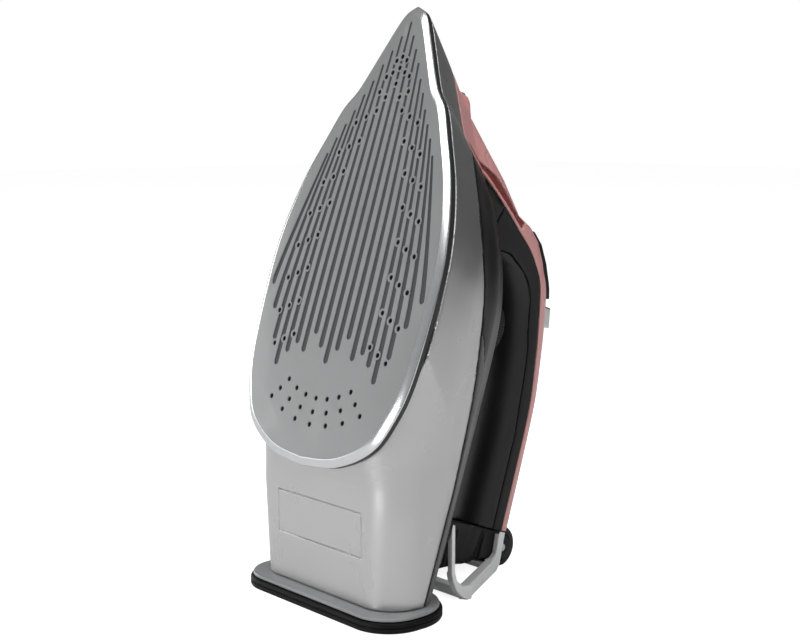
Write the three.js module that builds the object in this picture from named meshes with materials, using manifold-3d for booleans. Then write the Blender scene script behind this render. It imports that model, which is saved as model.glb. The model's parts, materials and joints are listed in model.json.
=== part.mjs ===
// A steam iron standing on its heel, in millimetres, +Z up, its back (handle) towards +Y.
// Most of it is drawn in the sole frame: X to the right, Y away from the ironing face, Z from heel to tip.
// The sole frame leans back by LEAN when the iron stands up.
import * as THREE from "three";
import { mergeVertices } from "three/addons/utils/BufferGeometryUtils.js";
import Module from "manifold-3d";

const wasm = await Module();
wasm.setup();

// ---- driving dimensions ----
const LEAN = THREE.MathUtils.degToRad(18.75); // the sole leans back by this much on its heel
const HEEL_RISE = 70.5; // height of the sole's rear end above the ground
const SOLE_LENGTH = 225;
const SOLE_HALF = 62.5;
const SOLE_THICK = 5;
const RIM_BEVEL = 3.2; // width of the bright bevel round the sole
const RIM_LIFT = 1.8; // how far the bevel rises
const WALL = 2.4; // thickness of the moulded shells
const GAP = 0.3; // clearance between neighbours that touch
const DECK = 70.5; // height of the body's top under the handle
const HEEL_FACE = 11.3; // the flat underside of the heel stands this far behind the sole's rear end
const HEEL_FOOT = 5; // thickness of the rubber rim under the heel
const HEEL_LEDGE = 1.7; // thickness of the plate above it
const HANDLE_HALF = 17;
const HANDLE_END = -10; // where the handle stops and the rear stand's arms begin
const FAR = 200; // reaches past the whole iron, for cutting tools

// ---- finishes ----
const finish = (color, roughness, metalness = 0) =>
  new THREE.MeshStandardMaterial({ color, roughness, metalness });
const FINISH = {
  sole: finish(0x8f9193, 0.35, 0.8),
  silver: finish(0xb4b4b4, 0.4, 0.3),
  trim: finish(0x4a4b4c, 0.5),
  black: finish(0x1d1e1f, 0.35),
  rose: finish(0xba8483, 0.3),
  window: finish(0x8c4b48, 0.15),
  grip: finish(0x2d2e2f, 0.7),
  rubber: finish(0x121212, 0.8),
  cast: finish(0xa3a5a6, 0.6, 0.7),
  steel: finish(0xc4c6c8, 0.3, 1),
  brass: finish(0xb5964a, 0.35, 1),
  ceramic: finish(0xe9e5da, 0.6),
  tank: finish(0xbfc4c6, 0.15),
  red: finish(0xa03a30, 0.5),
};

// ---- solids ----
function solid(geometry) {
  const bare = new THREE.BufferGeometry().setAttribute(
    "position",
    (geometry.index ? geometry.toNonIndexed() : geometry).getAttribute("position"),
  );
  const merged = mergeVertices(bare, 1e-4);
  const triVerts = new Uint32Array(merged.index.array);
  const vertProperties = merged.attributes.position.array;
  const made = new wasm.Manifold(new wasm.Mesh({ numProp: 3, vertProperties, triVerts }));
  if (made.volume() >= 0) return made;
  for (let i = 0; i < triVerts.length; i += 3) {
    [triVerts[i], triVerts[i + 1]] = [triVerts[i + 1], triVerts[i]];
  }
  return new wasm.Manifold(new wasm.Mesh({ numProp: 3, vertProperties, triVerts }));
}
const cut = (body, ...tools) => tools.reduce((left, tool) => left.subtract(tool), body);
const join = (...bodies) => bodies.reduce((whole, body) => whole.add(body));
const common = (...bodies) => bodies.reduce((rest, body) => rest.intersect(body));

function geometryOf(manifold) {
  const { vertProperties, triVerts } = manifold.getMesh();
  const geometry = new THREE.BufferGeometry();
  geometry.setAttribute("position", new THREE.BufferAttribute(vertProperties, 3));
  geometry.setIndex(new THREE.BufferAttribute(triVerts, 1));
  geometry.computeVertexNormals();
  return geometry;
}

// A closed solid through stacked outlines with equal numbers of points: [{ outline, at }, ...].
function loft(rings, place) {
  const count = rings[0].outline.length;
  const positions = [];
  const indices = [];
  for (const { outline, at } of rings) {
    for (const point of outline) positions.push(...place(point.x, point.y, at));
  }
  for (let ring = 0; ring + 1 < rings.length; ring++) {
    for (let i = 0; i < count; i++) {
      const [a, b] = [ring * count + i, ring * count + ((i + 1) % count)];
      indices.push(a, b, b + count, a, b + count, a + count);
    }
  }
  const cap = (ring, flip) => {
    for (const [a, b, c] of THREE.ShapeUtils.triangulateShape(rings[ring].outline, [])) {
      const base = ring * count;
      indices.push(base + a, base + (flip ? c : b), base + (flip ? b : c));
    }
  };
  const outward = THREE.ShapeUtils.isClockWise(rings[0].outline);
  cap(0, !outward);
  cap(rings.length - 1, outward);
  const geometry = new THREE.BufferGeometry();
  geometry.setAttribute("position", new THREE.Float32BufferAttribute(positions, 3));
  geometry.setIndex(indices);
  return solid(geometry);
}
const overSole = (x, s, height) => [x, height, s]; // plan outlines stacked away from the sole
const alongSole = (x, height, s) => [x, height, s]; // cross sections stacked from heel to tip
const acrossSole = (s, height, x) => [x, height, s]; // side profiles stacked from left to right
const cosLean = Math.cos(LEAN);
const sinLean = Math.sin(LEAN);
// A point given standing up, with z from the ground, in the sole frame.
const standing = (x, y, z) => [
  x,
  y * cosLean - (z - HEEL_RISE) * sinLean,
  y * sinLean + (z - HEEL_RISE) * cosLean,
];
const prism = (outline, from, to, place) =>
  loft([{ outline, at: from }, { outline, at: to }], place);
const points = (pairs) => pairs.map(([x, y]) => new THREE.Vector2(x, y));
const sideCut = (pairs, half = FAR) => prism(points(pairs), -half, half, acrossSole);

// A side line moved square to itself: to the right of its direction of travel, up for a line running back.
// A closed loop grows by the distance.
function offset(line, distance, closed = false) {
  const outward = closed && THREE.ShapeUtils.isClockWise(points(line)) ? -distance : distance;
  const at = (i) => (closed ? line.at(i % line.length) : line[Math.min(Math.max(i, 0), line.length - 1)]);
  const normal = ([s0, h0], [s1, h1]) => {
    const length = Math.hypot(s1 - s0, h1 - h0);
    return length ? [(h1 - h0) / length, (s0 - s1) / length] : null;
  };
  return line.map((point, i) => {
    const before = normal(at(i - 1), point) ?? normal(point, at(i + 1));
    const after = normal(point, at(i + 1)) ?? before;
    const scale = outward / (1 + before[0] * after[0] + before[1] * after[1]);
    return [point[0] + scale * (before[0] + after[0]), point[1] + scale * (before[1] + after[1])];
  });
}
const grown = (loop, distance) => sideCut(offset(loop, distance, true));

// Everything under a side line [s, height] that runs from the nose to the rear.
const under = (line, shift = 0) => {
  const top = offset(line, shift);
  return sideCut([...top, [top.at(-1)[0], -FAR], [top[0][0], -FAR]]);
};

function cylinder(radius, from, to, sides = 16, endRadius = radius) {
  const [a, b] = [new THREE.Vector3(...from), new THREE.Vector3(...to)];
  const axis = b.clone().sub(a);
  const geometry = new THREE.CylinderGeometry(endRadius, radius, axis.length(), sides);
  const up = new THREE.Vector3(0, 1, 0);
  const turn = new THREE.Quaternion().setFromUnitVectors(up, axis.clone().normalize());
  geometry.applyQuaternion(turn);
  geometry.translate(...a.add(b).multiplyScalar(0.5));
  return solid(geometry);
}
const ring = (outer, inner, from, to, sides = 20) => {
  const [a, b] = [new THREE.Vector3(...from), new THREE.Vector3(...to)];
  const past = b.clone().sub(a).normalize();
  const bore = cylinder(inner, a.clone().sub(past), b.clone().add(past), sides);
  return cut(cylinder(outer, from, to, sides), bore);
};
function block([width, height, length], [x, y, z]) {
  return solid(new THREE.BoxGeometry(width, height, length).translate(x, y, z));
}
function tube(route, radius, steps = 24, sides = 8) {
  const section = new THREE.Shape(new THREE.EllipseCurve(0, 0, radius, radius).getPoints(sides).slice(1));
  const path = new THREE.CatmullRomCurve3(route.map((point) => new THREE.Vector3(...point)));
  return solid(new THREE.ExtrudeGeometry(section, { steps, extrudePath: path }));
}

// ---- outlines ----
// A closed outline from the right half [x, s], rear to tip, with both ends on or beside the middle.
function mirrored(half) {
  const right = half.map(([x, s]) => new THREE.Vector2(x, s));
  const left = right
    .filter((point) => point.x > 1e-6)
    .map((point) => new THREE.Vector2(-point.x, point.y))
    .reverse();
  return [...right, ...left];
}
const smooth = (half, count) =>
  new THREE.SplineCurve(points(half)).getSpacedPoints(count).map(({ x, y }) => [Math.max(x, 0), y]);

// Front part of the plan: [half width, distance from the rear], shared by the sole and the body.
const NOSE_HALF = [
  [62.3, 90],
  [60, 114],
  [53, 139],
  [43.5, 160],
  [36.5, 174],
  [30, 181.5],
  [26.5, 186.5],
  [16, 206],
  [10.2, 216.5],
  [6, 222],
  [0, SOLE_LENGTH],
];
const SOLE_REAR = [
  [0, 0],
  [24, 3],
  [44, 13],
  [53.5, 26.5],
  [60, 48],
];
const soleHalf = smooth([...SOLE_REAR, ...NOSE_HALF], 30);
function soleOutline(inset) {
  const across = 1 - inset / SOLE_HALF;
  const along = 1 - (2.2 * inset) / SOLE_LENGTH;
  return mirrored(soleHalf.map(([x, s]) => [x * across, inset + s * along]));
}

// ---- the outer form ----
// Plan outlines of the body at rising heights: how far its nose reaches and how wide it is.
const BODY_LEVELS = [
  { height: 5.4, nose: 224.4, spread: 0.995 },
  { height: 26, nose: 206, spread: 0.965 },
  { height: 37, nose: 196, spread: 0.91 },
  { height: 50, nose: 184, spread: 0.845 },
  { height: 62, nose: 172, spread: 0.72 },
  { height: 68, nose: 166, spread: 0.61 },
  { height: DECK, nose: 161, spread: 0.5 },
];
const BODY_REAR = [
  [60, -90],
  [61.5, -20],
  [62.5, 50],
];
const bodyHalf = smooth([...BODY_REAR, ...NOSE_HALF], 22);
const HINGE_LINE = 50; // ahead of this the plan shortens towards the nose
function bodyForm(inset) {
  const rings = BODY_LEVELS.map(({ height, nose, spread }, index) => {
    const across = spread * (1 - inset / (SOLE_HALF * spread));
    const along = (nose - 1.6 * inset - HINGE_LINE) / (SOLE_LENGTH - HINGE_LINE);
    const outline = mirrored(
      bodyHalf.map(([x, s]) => [x * across, s > HINGE_LINE ? HINGE_LINE + (s - HINGE_LINE) * along : s]),
    );
    const top = index === BODY_LEVELS.length - 1;
    const at = top ? height - inset : Math.min(height, DECK - inset - 1 + index * 0.1);
    return { outline, at: index === 0 && inset > 0 ? -20 : at };
  });
  return loft(rings, overSole);
}

// Outlines of the heel standing up, level by level from the ground: front face, half width, corner radius.
const HEEL_LEVELS = [
  { z: HEEL_FOOT + HEEL_LEDGE + 2 * GAP, front: HEEL_FACE, half: 51, corner: 18 },
  { z: 66.5, front: HEEL_FACE, half: 55, corner: 18 },
  { z: 71.5, front: 5.7, half: 54.5, corner: 25 },
  { z: 81, front: 7.6, half: 56, corner: 27 },
  { z: 93.5, front: 8.3, half: 58.5, corner: 29 },
  { z: 114, front: 9.5, half: 63, corner: 30 },
  { z: 140, front: 9.5, half: 70, corner: 30 },
  { z: 320, front: -60, half: 90, corner: 30 },
];
function heelForm(inset) {
  const rings = HEEL_LEVELS.map(({ z, front, half, corner: round }, index) => {
    const [wide, near, radius] = [half - inset, front + inset, round - inset];
    const corner = Array.from({ length: 7 }, (_, i) => {
      const turn = (i / 6) * (Math.PI / 2);
      return [wide - radius + radius * Math.sin(turn), near + radius - radius * Math.cos(turn)];
    });
    const right = [...corner, [wide, FAR]];
    const left = right.map(([x, y]) => [-x, y]).reverse();
    return { outline: points([...right, ...left]), at: index === 0 ? z - (inset > 0 ? 20 : 0) : z };
  });
  return loft(rings, standing);
}

// Cross sections of the handle and its front pillar: position, lowest and highest point, half width.
const HANDLE_STATIONS = [
  { s: -12, low: 109, high: 138.8, half: 16.8 },
  { s: 40, low: 108, high: 137.8, half: HANDLE_HALF },
  { s: 60, low: 106.5, high: 137, half: HANDLE_HALF },
  { s: 78, low: 104, high: 134.2, half: HANDLE_HALF },
  { s: 93, low: 101, high: 131.5, half: HANDLE_HALF },
  { s: 105, low: 97, high: 128.7, half: 17.2 },
  { s: 114, low: 90.5, high: 126.5, half: 17.6 },
  { s: 120, low: 82, high: 124.4, half: 18 },
  { s: 125, low: 68, high: 122, half: 18.4 },
  { s: 130, low: 62, high: 119, half: 18.8 },
  { s: 138, low: 58, high: 112.2, half: 19.3 },
  { s: 143, low: 54, high: 104.2, half: 19.8 },
  { s: 146, low: 50, high: 93, half: 20 },
  { s: 160, low: 35, high: 76.3, half: 19.6 },
  { s: 172, low: 26, high: 63, half: 15 },
  { s: 184, low: 24, high: 50.4, half: 9 },
];
const ROUNDNESS = 2.35; // exponent of the handle's superellipse section
function handleForm(inset) {
  const rings = HANDLE_STATIONS.map(({ s, low, high, half }, index) => {
    const middle = (low + high) / 2;
    const tall = (high - low) / 2 - inset;
    const outline = Array.from({ length: 28 }, (_, i) => {
      const turn = (i / 28) * 2 * Math.PI;
      const [x, y] = [Math.cos(turn), Math.sin(turn)];
      const soften = (value) => Math.sign(value) * Math.abs(value) ** (2 / ROUNDNESS);
      return new THREE.Vector2((half - inset) * soften(x), middle + tall * soften(y));
    });
    const first = index === 0 && inset > 0 ? -8 : 0;
    const last = index === HANDLE_STATIONS.length - 1 ? -1.2 * inset : 0;
    return { outline, at: s + first + last };
  });
  return loft(rings, alongSole);
}
const outerForm = (inset) =>
  join(common(bodyForm(inset), heelForm(inset)), handleForm(inset));
const outer = outerForm(0);
const inner = outerForm(WALL);

// ---- side lines that part the shells, as [s, height] ----
const SKIRT_LINE = [
  [230, 26.5],
  [128, 26.5],
  [111, 30.6],
  [93, 36.3],
  [70, 42.2],
  [45, 47.2],
  [4, 51.3],
  [-90, 51.5],
];
const TRIM_START = 79;
const TRIM_LINE = [
  [TRIM_START, 40.6],
  [62, 50.5],
  [26, 57.2],
  [-9, 57.8],
  [-90, 57.3],
];
const COVER_LINE = [
  [230, 27],
  [167, 27.2],
  [162, 41],
  [156, 55],
  [147, 71],
  [138, 86],
  [129, 101],
  [117, 111.5],
  [94.7, 118.6],
  [79.5, 122],
  [59, 125.6],
  [40.6, 126.8],
  [-30, 127.5],
];
const GRIP_LINE = [
  [126.6, 60],
  [126, 85],
  [120, 97],
  [115, 103],
  [107.5, 107.5],
  [93, 111.5],
  [78, 115.5],
  [40, 120],
  [-30, 121],
];

const root = new THREE.Group();
const leaning = new THREE.Group();
leaning.rotation.x = -LEAN;
leaning.position.z = HEEL_RISE;
root.add(leaning);
function piece(name, manifold, material) {
  const mesh = new THREE.Mesh(geometryOf(manifold), material);
  mesh.name = name;
  leaning.add(mesh);
}
const right = block([FAR, 3 * FAR, 4 * FAR], [FAR / 2 + 0.5, 0, 0]);
const left = block([FAR, 3 * FAR, 4 * FAR], [-FAR / 2 - 0.5, 0, 0]);
function mirroredPieces(name, manifold, material) {
  piece(`${name}_right`, common(manifold, right), material);
  piece(`${name}_left`, common(manifold, left), material);
}
const behind = (s) => sideCut([[s, FAR], [s, -FAR], [-FAR, -FAR], [-FAR, FAR]]);
const above = (height) => sideCut([[-FAR, height], [-FAR, FAR], [2 * FAR, FAR], [2 * FAR, height]]);

// ---- soleplate and heater ----
const HOLE_RADIUS = 1.15;
// Steam holes: rows of three down each side, pairs at the tip and arcs at the rear, as [x, s].
function steamHoles() {
  const places = [];
  const pair = (x, s) => places.push([x, s], [-x, s]);
  const row = [[9.2, 172.3], [22.2, 142.5], [29.7, 108.5], [31.1, 75.5], [28.4, 59.6]];
  for (const { x, y } of new THREE.SplineCurve(points(row)).getSpacedPoints(7)) {
    for (let i = 0; i < 3; i++) pair(x + 6.6 * i, y - 3 * i);
  }
  for (const s of [199.2, 193.6, 185.7]) places.push([0, s]);
  for (const [x, s] of [[3.6, 197.3], [4.3, 191.3], [8.2, 189.3], [10.4, 181.7], [5.1, 179]]) pair(x, s);
  for (const [middle, radius] of [[78.2, 46.5], [81.7, 56.5], [85.8, 66.6]]) {
    for (let i = -3; i <= 3; i++) {
      const turn = THREE.MathUtils.degToRad(10 * i);
      places.push([radius * Math.sin(turn), middle - radius * Math.cos(turn)]);
    }
  }
  return places;
}
const plate = loft(
  [
    { outline: soleOutline(RIM_BEVEL), at: 0 },
    { outline: soleOutline(0), at: RIM_LIFT },
    { outline: soleOutline(0.4), at: SOLE_THICK },
  ],
  overSole,
);
const steamHoleTools = steamHoles().map(([x, s]) =>
  cylinder(HOLE_RADIUS, [x, -1, s], [x, SOLE_THICK + 1, s], 6),
);
piece("soleplate", cut(plate, ...steamHoleTools), FINISH.sole);

const room = outerForm(WALL + 0.6); // what fits inside the shells
const CAST_TOP = 15;
const VALVE_AT = 139; // the steam valve and its rod stand on this line
const castPlan = (inset) => soleOutline(inset + 7);
const chamberPlan = (grow) => {
  const half = [[0, 98 - grow], [16 + grow, 104], [17 + grow, 130], [10 + grow, 158], [0, 168 + grow]];
  return mirrored(smooth(half, 10));
};
const SCREWS_AT = [[0, 192], [-48, 64], [48, 64]];
const screwWays = SCREWS_AT.map(([x, s]) => cylinder(1.9, [x, 8, s], [x, 20, s], 12));
const casting = common(prism(castPlan(0), SOLE_THICK + GAP, CAST_TOP, overSole), room);
const steamSpace = prism(castPlan(10), 0, 9, overSole);
const boiler = prism(chamberPlan(0), 8, CAST_TOP + 1, overSole);
piece("heater_casting", cut(casting, steamSpace, boiler, ...screwWays), FINISH.cast);
const lidWay = cylinder(3.4, [0, 10, VALVE_AT], [0, 20, VALVE_AT]);
piece(
  "chamber_cover",
  cut(prism(chamberPlan(3), CAST_TOP + GAP, 17, overSole), lidWay),
  FINISH.steel,
);
piece("valve_seat", ring(5, 2.4, [0, 17 + GAP, VALVE_AT], [0, 26.8, VALVE_AT]), FINISH.brass);
["front", "left", "right"].forEach((place, i) => {
  const [x, s] = SCREWS_AT[i];
  const shank = cylinder(1.6, [x, 9.5, s], [x, 16, s], 12);
  const head = cylinder(3, [x, CAST_TOP + GAP, s], [x, 17.6, s], 12);
  piece(`casting_screw_${place}`, join(shank, head), FINISH.steel);
});

const ELEMENT_HEIGHT = CAST_TOP + GAP + 3.3;
const elementSide = [[27, 26], [38, 70], [33, 120], [17, 167]];
const elementRoute = [
  ...elementSide.map(([x, s]) => [-x, ELEMENT_HEIGHT, s]),
  [0, ELEMENT_HEIGHT, 180],
  ...elementSide.toReversed().map(([x, s]) => [x, ELEMENT_HEIGHT, s]),
];
piece("heating_element", tube(elementRoute, 3.2, 36), FINISH.steel);

const DIAL_AT = 88; // the dial, its shaft and the thermostat stand on this line
const switchBlock = block([22, 5.5, 24], [0, CAST_TOP + GAP + 2.75, DIAL_AT - 7]);
piece("thermostat", join(switchBlock, cylinder(6, [0, 18, DIAL_AT], [0, 26, DIAL_AT])), FINISH.ceramic);
piece("thermal_fuse", cylinder(3, [20, CAST_TOP + 3.3, 56], [20, CAST_TOP + 3.3, 76], 12), FINISH.steel);

const SHIELD_HEIGHT = 27.4;
const shield = common(prism(castPlan(1), SHIELD_HEIGHT, SHIELD_HEIGHT + 1, overSole), room);
const shieldWays = [
  cylinder(8, [0, 20, DIAL_AT], [0, 40, DIAL_AT]),
  cylinder(5.4, [0, 20, VALVE_AT], [0, 40, VALVE_AT]),
  block([70, 10, 14], [0, SHIELD_HEIGHT, 27]),
];
piece("heat_shield", cut(shield, ...shieldWays), FINISH.steel);
piece("terminal_block", block([26, 11, 18], [0, SHIELD_HEIGHT + 1 + GAP + 5.5, 48]), FINISH.ceramic);
for (const [name, side] of [["live_wire", 1], ["neutral_wire", -1]]) {
  const route = [[6, 35, 38.4], [9, 34, 31], [20, 27, 26], [26, 20, 22], [27, ELEMENT_HEIGHT, 25]];
  piece(name, tube(route.map(([x, h, s]) => [side * x, h, s]), 1.1, 16, 6), FINISH.red);
}

// ---- water tank ----
const tankSide = (inset) =>
  offset([[100, 31], [100, 62], [150, 62], [160, 57], [178, 38], [184, 31]], -inset, true);
const tankWall = common(outerForm(WALL + 2.6), sideCut(tankSide(0)));
const tankSpace = common(outerForm(WALL + 4.2), sideCut(tankSide(1.6)));
const NECK = [[0, 57, 151], [0, 66, 160.5]];
const sleeve = cylinder(3.8, [0, 31, VALVE_AT], [0, 62, VALVE_AT]);
const rodWay = cylinder(2.4, [0, 20, VALVE_AT], [0, 70, VALVE_AT]);
const neckWay = cylinder(5.4, [0, 55.1, 149], [0, 67.9, 162.5]);
const suctionWay = cylinder(2, [-7.4, 58, 131], [-7.4, 66, 131], 10);
const tankShell = join(cut(tankWall, tankSpace), sleeve, cut(cylinder(7, ...NECK), tankSpace));
piece("water_tank", cut(tankShell, rodWay, neckWay, suctionWay), FINISH.tank);

// ---- lower housing and side trims ----
const shell = cut(outer, inner);
const BOSSES_AT = [-36, 36];
const HEEL_BOTTOM = HEEL_LEVELS[0].z;
const heelBoss = (x) => cylinder(4.5, standing(x, 17.6, HEEL_BOTTOM), standing(x, 17.6, 22));
const screwHole = (x, radius, from, to) => cylinder(radius, standing(x, 17.6, from), standing(x, 17.6, to));
const bosses = BOSSES_AT.map(heelBoss);
const bossBores = BOSSES_AT.map((x) => screwHole(x, 1.7, 0, 19));
piece("lower_housing", cut(join(common(shell, under(SKIRT_LINE)), ...bosses), ...bossBores), FINISH.silver);

const trimBand = common(cut(under(TRIM_LINE), under(SKIRT_LINE, GAP)), behind(TRIM_START - 1));
mirroredPieces("side_trim", cut(common(outerForm(-0.7), trimBand), inner), FINISH.trim);

// ---- upper body, handle frame and grip ----
const belowBody = join(under(SKIRT_LINE, GAP), common(under(TRIM_LINE, GAP), behind(TRIM_START - 1 + GAP)));
const rearWay = block([22, 20, 16], [0, DECK, -25]);
const shaftWay = cylinder(3.4, [0, 60, DIAL_AT], [0, 80, DIAL_AT]);
piece(
  "body_shell",
  cut(common(shell, under(COVER_LINE), behind(167.3)), belowBody, above(DECK + 0.1), rearWay, shaftWay),
  FINISH.black,
);

const DRUM = { x: 12, height: 133.2, s: -18.4, radius: 11 };
const drumAxis = (half) => [[-half, DRUM.height, DRUM.s], [half, DRUM.height, DRUM.s]];
const drumRoom = cylinder(DRUM.radius + 0.6, ...drumAxis(DRUM.x + 0.6), 28);
const handleSpan = sideCut([[HANDLE_END, 60], [HANDLE_END, FAR], [2 * FAR, FAR], [2 * FAR, 60]]);
const handleShell = cut(common(shell, above(DECK + GAP), handleSpan), drumRoom);
const frameSide = cut(common(handleShell, under(COVER_LINE)), under(GRIP_LINE, GAP));
mirroredPieces("handle_frame", frameSide, FINISH.black);
piece("handle_grip", common(handleShell, under(GRIP_LINE)), FINISH.grip);

// ---- rose top cover, filler lid and tank windows ----
const LID_SIDE = [
  [161.3, 55.2],
  [159, 62.5],
  [153, 73],
  [148, 80.8],
  [146.8, 83],
  [146.8, 112],
  [175, 110],
  [185.2, 69.4],
  [167.5, 52.8],
];
const WINDOW_SIDE = [
  [167, 33.2],
  ...offset(COVER_LINE.slice(1, 6), 2.1).slice(1),
  [143.4, 88.8],
  [146.4, 82.4],
  [147.6, 80.2],
  [152.6, 72.4],
  [158.6, 62],
  [162.9, 48.4],
  [168.4, 33.2],
];
const hoodSide = [[196, 32], [194.1, 43], [192.1, 45.2], [187.5, 47.3], [182, 50], [182, 36]];
const hood = cut(sideCut(hoodSide, 4.8), inner);
const NOZZLE_HEIGHT = 41.6;
const nozzleLine = (from, to) => [[0, NOZZLE_HEIGHT, from], [0, NOZZLE_HEIGHT, to]];
const BUTTONS = { front: 142.8, rear: 112.5, half: 12, at: 131 };
const buttonLength = BUTTONS.front - BUTTONS.rear;
const buttonMiddle = (BUTTONS.front + BUTTONS.rear) / 2;
const buttonRoom = block([2 * BUTTONS.half + 0.8, 60, buttonLength + 0.8], [0, 125, buttonMiddle]);
const SLIDER_AT = 104;
const sliderSlot = block([4.6, 30, 17], [0, 128, SLIDER_AT - 4.9]);
const coverForm = cut(join(shell, hood), under(COVER_LINE, GAP), under(GRIP_LINE, GAP));
piece(
  "top_cover",
  cut(
    common(coverForm, handleSpanAndNose()),
    grown(LID_SIDE, GAP),
    grown(WINDOW_SIDE, GAP),
    cylinder(2.9, ...nozzleLine(178, 205)),
    buttonRoom,
    sliderSlot,
    drumRoom,
  ),
  FINISH.rose,
);
function handleSpanAndNose() {
  return sideCut([[HANDLE_END, 0], [HANDLE_END, FAR], [2 * FAR, FAR], [2 * FAR, 0]]);
}
piece("filler_lid", common(shell, sideCut(LID_SIDE)), FINISH.rose);
const glazing = cut(outerForm(1.5), outerForm(3.2));
mirroredPieces("tank_window", common(glazing, sideCut(WINDOW_SIDE)), FINISH.window);
piece("spray_nozzle", ring(2.6, 0.8, ...nozzleLine(182, 195.9)), FINISH.black);

// ---- buttons, pumps and their carrier ----
const capForm = cut(handleForm(-2.3), handleForm(2.6));
const PUMP_X = 7.4;
const PUMP_TOP = 94;
const pumpLine = (x, from, to) => [[x, from, BUTTONS.at], [x, to, BUTTONS.at]];
for (const [name, side] of [["spray", 1], ["steam", -1]]) {
  const x = side * PUMP_X;
  const middle = side * (BUTTONS.half / 2 + 0.25);
  const cap = common(capForm, block([BUTTONS.half - 0.5, 43, buttonLength], [middle, 122, buttonMiddle]));
  const stem = common(cylinder(1.7, ...pumpLine(x, PUMP_TOP - 1.7, 118)), handleForm(2.4));
  piece(`${name}_button`, join(cap, stem), FINISH.black);
  piece(`${name}_piston`, cylinder(3.3, ...pumpLine(x, PUMP_TOP - 8.2, PUMP_TOP - 2)), FINISH.ceramic);
  const barrel = cylinder(5, ...pumpLine(x, PUMP_TOP - 20, PUMP_TOP));
  const bore = cylinder(3.7, ...pumpLine(x, PUMP_TOP - 17.4, PUMP_TOP + 1));
  const outlet = cylinder(1, ...pumpLine(x, PUMP_TOP - 21, PUMP_TOP - 16), 8);
  piece(`${name}_pump`, cut(barrel, bore, outlet), FINISH.ceramic);
}
const carrierRoom = block([FAR, 2, 21], [0, PUMP_TOP + GAP + 1, 130.5]);
const stemWay = (side) => cylinder(2.3, ...pumpLine(side * PUMP_X, PUMP_TOP - 2, PUMP_TOP + 6));
const leverWay = block([4.6, 20, 22], [0, PUMP_TOP, 134]);
piece("pump_carrier", cut(common(room, carrierRoom), stemWay(1), stemWay(-1), leverWay), FINISH.black);
const suctionRoute = [[-PUMP_X, 62.4, 131], [-PUMP_X, 68, 131], [-PUMP_X, PUMP_TOP - 20.3, 131]];
piece("suction_hose", tube(suctionRoute, 1.5, 4, 6), FINISH.tank);
const sprayRoute = [
  [PUMP_X, PUMP_TOP - 20.9, 131],
  [7.8, 70, 133],
  [10.5, 67, 150],
  [9, 59, 160],
  [5, 51, 170],
  [0, NOZZLE_HEIGHT, 180.8],
];
piece("spray_hose", tube(sprayRoute, 1.5, 18, 6), FINISH.tank);

// ---- steam slider, valve rod and temperature dial ----
const sliderSpan = (length, half) => block([2 * half, 40, length], [0, 134, SLIDER_AT]);
const baseForm = common(cut(handleForm(-2), handleForm(-0.5)), sliderSpan(12, 8.5));
const sliderStem = block([3.4, 14, 6], [0, 122.5, SLIDER_AT]);
piece("slider_base", join(baseForm, sliderStem), FINISH.black);
const knob = common(cut(handleForm(-7.6), handleForm(-2.3)), sliderSpan(10.5, 6.5));
piece("slider_knob", knob, FINISH.steel);
const LEVER_END = [0, 112, SLIDER_AT];
const rod = cylinder(1.8, [0, 20.5, VALVE_AT], [0, 98, VALVE_AT]);
piece("valve_rod", join(rod, cylinder(1.4, [0, 97, VALVE_AT], LEVER_END)), FINISH.brass);

const collar = cylinder(9, [0, DECK + GAP, DIAL_AT], [0, 87.2, DIAL_AT], 24, 8);
piece("dial_collar", cut(collar, cylinder(3.2, [0, 60, DIAL_AT], [0, 95, DIAL_AT])), FINISH.black);
piece("dial_shaft", cylinder(2.5, [0, 26 + GAP, DIAL_AT], [0, 93, DIAL_AT]), FINISH.steel);
const dialRim = cylinder(17.5, [0, 87.7, DIAL_AT], [0, 94.4, DIAL_AT], 36, 16.6);
piece("temperature_dial", cut(dialRim, cylinder(2.8, [0, 80, DIAL_AT], [0, 93.3, DIAL_AT])), FINISH.grip);

// ---- rear of the handle: housing, cord swivel and heel stand ----
const PIN_RADIUS = 2;
const pinWay = cylinder(PIN_RADIUS + GAP, ...drumAxis(30));
const housingSide = [[HANDLE_END - 0.4, 71], [HANDLE_END - 0.4, 130], [-23, 130], [-42.9, 71]];
const housingSpace = sideCut([[-12.9, 65], [-12.9, 118.5], [-21.6, 118.5], [-39.6, 65]], 12.2);
const cheeks = [-14.4, DRUM.x + 0.6].map((x) =>
  cylinder(6, [x, DRUM.height, DRUM.s], [x + 1.8, DRUM.height, DRUM.s], 24),
);
const leadWay = block([16, 6, 10], [0, 115, -10]);
const housing = cut(sideCut(housingSide, 14.4), housingSpace, leadWay, drumRoom);
piece("rear_housing", cut(join(housing, ...cheeks), pinWay), FINISH.black);
const cordWay = cylinder(3.4, [0, DRUM.height, DRUM.s], [0, DRUM.height + 7, DRUM.s - 12]);
piece("cord_swivel", cut(cylinder(DRUM.radius, ...drumAxis(DRUM.x), 28), pinWay, cordWay), FINISH.black);
piece("swivel_pin", cylinder(PIN_RADIUS, ...drumAxis(14.4)), FINISH.steel);

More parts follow.
